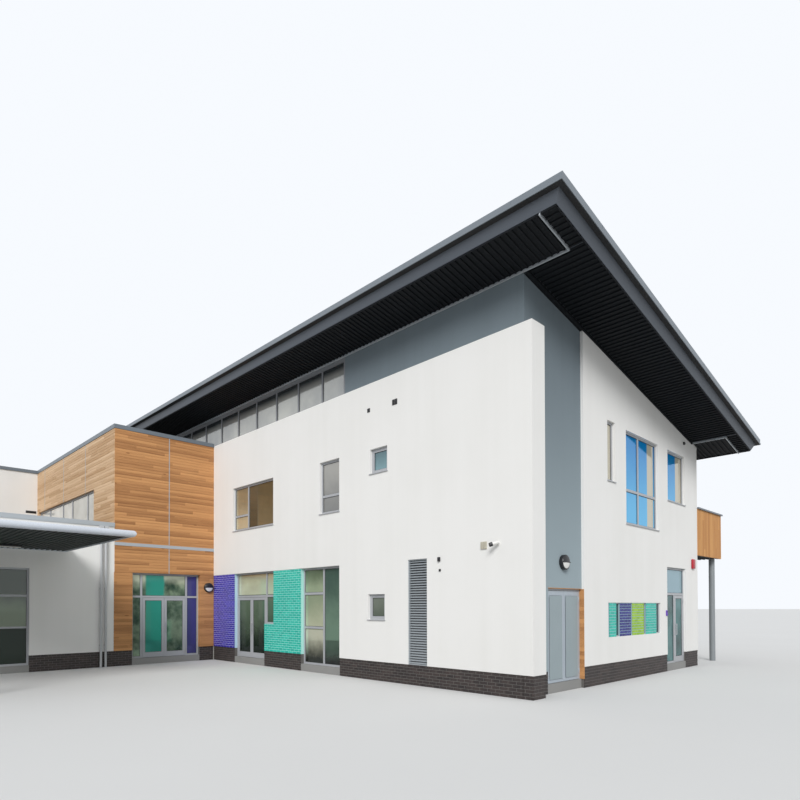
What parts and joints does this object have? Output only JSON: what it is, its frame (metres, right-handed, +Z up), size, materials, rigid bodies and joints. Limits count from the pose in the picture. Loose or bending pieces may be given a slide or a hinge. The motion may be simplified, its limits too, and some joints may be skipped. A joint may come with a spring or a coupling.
{
  "type": "school building",
  "caption": "Two-storey school with a steep monopitch roof on ribbed overhangs, white and grey render, a timber-clad block, coloured brick panels, a canopy and hinged glazed doors.",
  "frame": {"origin": "underside of the ground-floor slab at the column grid point 1.5 m in from the corner of the front and the gable", "axes": "+X along the long front towards the gable, +Y from the front to the back, +Z up"},
  "size_m": [32.85, 24.505, 10.0848],
  "materials": {
    "concrete": "power-floated concrete",
    "dark_brick": "dark blue-grey engineering brick",
    "white_render": "fine through-coloured render",
    "inner_plaster": "painted plaster",
    "grey_render": "fine grey render",
    "grey_metal": "satin powder coat",
    "glass": "clear double glazing",
    "roof_fascia": "satin folded sheet",
    "trim_metal": "satin folded sheet",
    "roof_edge": "satin folded sheet",
    "soffit_sheet": "satin profiled sheet",
    "cedar": "oiled horizontal boards",
    "flat_roof": "matt membrane",
    "canopy_metal": "satin folded sheet",
    "grey_steel": "satin paint",
    "glazed_brick": "gloss glaze in blue, teal and green",
    "louvre_metal": "dark satin paint",
    "service_grey": "satin paint",
    "fitting_plastic": "matt moulded housing"
  },
  "bodies": {
    "building": {"balcony_deck": "soffit_sheet", "balcony_parapet": "cedar", "bar_inner_wall": "inner_plaster", "block_front_wall": "cedar", "block_side_piers": "cedar", "block_side_wall": "cedar", "brick_plinth": "dark_brick", "canopy": "canopy_metal", "canopy_soffit": "soffit_sheet", "clerestory_frame": "grey_metal", "clerestory_glass": "glass", "corner_pier": "white_render", "door_frames": "grey_metal", "downpipes": "grey_steel", "first_floor": "concrete", "flat_roofs": "flat_roof", "front_wall_lower": "white_render", "front_wall_upper": "white_render", "gable_wall": "white_render", "gable_wall_over_door": "white_render", "glazed_brick_panels": "glazed_brick", "grey_gable_lintel": "grey_render", "grey_gable_pier": "grey_render", "grey_wall_front": "grey_render", "ground_slab": "concrete", "left_front_walls": "white_render", "low_block_side_wall": "white_render", "metal_trims": "trim_metal", "parapet_copings": "roof_edge", "rear_wall": "white_render", "recess_backing": "inner_plaster", "roof_deck": "roof_fascia", "roof_sheet": "roof_edge", "roof_soffit": "soffit_sheet", "round_posts": "grey_steel", "screen_glass": "glass", "service_louvre": "louvre_metal", "wall_fittings": "fitting_plastic", "wall_lights": "fitting_plastic", "west_wall": "white_render", "window_frames": "grey_metal", "window_glass": "glass", "window_sills": "grey_metal", "wing_side_walls": "white_render"},
    "class_door_near": {"class_door_near": "grey_metal", "class_door_near_glass": "glass"},
    "class_door_far": {"class_door_far": "grey_metal", "class_door_far_glass": "glass"},
    "play_door_near": {"play_door_near": "grey_metal", "play_door_near_glass": "glass"},
    "play_door_far": {"play_door_far": "grey_metal", "play_door_far_glass": "glass"},
    "service_door_near": {"service_door_near": "service_grey"},
    "service_door_far": {"service_door_far": "service_grey"},
    "gable_door": {"gable_door": "grey_metal", "gable_door_glass": "glass"}
  },
  "joints": [
    {"name": "class_door_near_hinge", "type": "hinge", "parent": "building", "child": "class_door_near", "pos_m": [-9.244, -1.38, 1.22], "axis": [0, 0, 1], "range_deg": [0, 90]},
    {"name": "class_door_far_hinge", "type": "hinge", "parent": "building", "child": "class_door_far", "pos_m": [-11.116, -1.38, 1.22], "axis": [0, 0, -1], "range_deg": [0, 90]},
    {"name": "play_door_near_hinge", "type": "hinge", "parent": "building", "child": "play_door_near", "pos_m": [-12.89, -2.574, 1.22], "axis": [0, 0, 1], "range_deg": [0, 90]},
    {"name": "play_door_far_hinge", "type": "hinge", "parent": "building", "child": "play_door_far", "pos_m": [-12.89, -4.146, 1.22], "axis": [0, 0, -1], "range_deg": [0, 90]},
    {"name": "service_door_near_hinge", "type": "hinge", "parent": "building", "child": "service_door_near", "pos_m": [1.18, -0.396, 1.22], "axis": [0, 0, -1], "range_deg": [0, 90]},
    {"name": "service_door_far_hinge", "type": "hinge", "parent": "building", "child": "service_door_far", "pos_m": [1.18, 1.036, 1.22], "axis": [0, 0, 1], "range_deg": [0, 90]},
    {"name": "gable_door_hinge", "type": "hinge", "parent": "building", "child": "gable_door", "pos_m": [1.235, 7.806, 1.22], "axis": [0, 0, 1], "range_deg": [0, 90]}
  ]
}
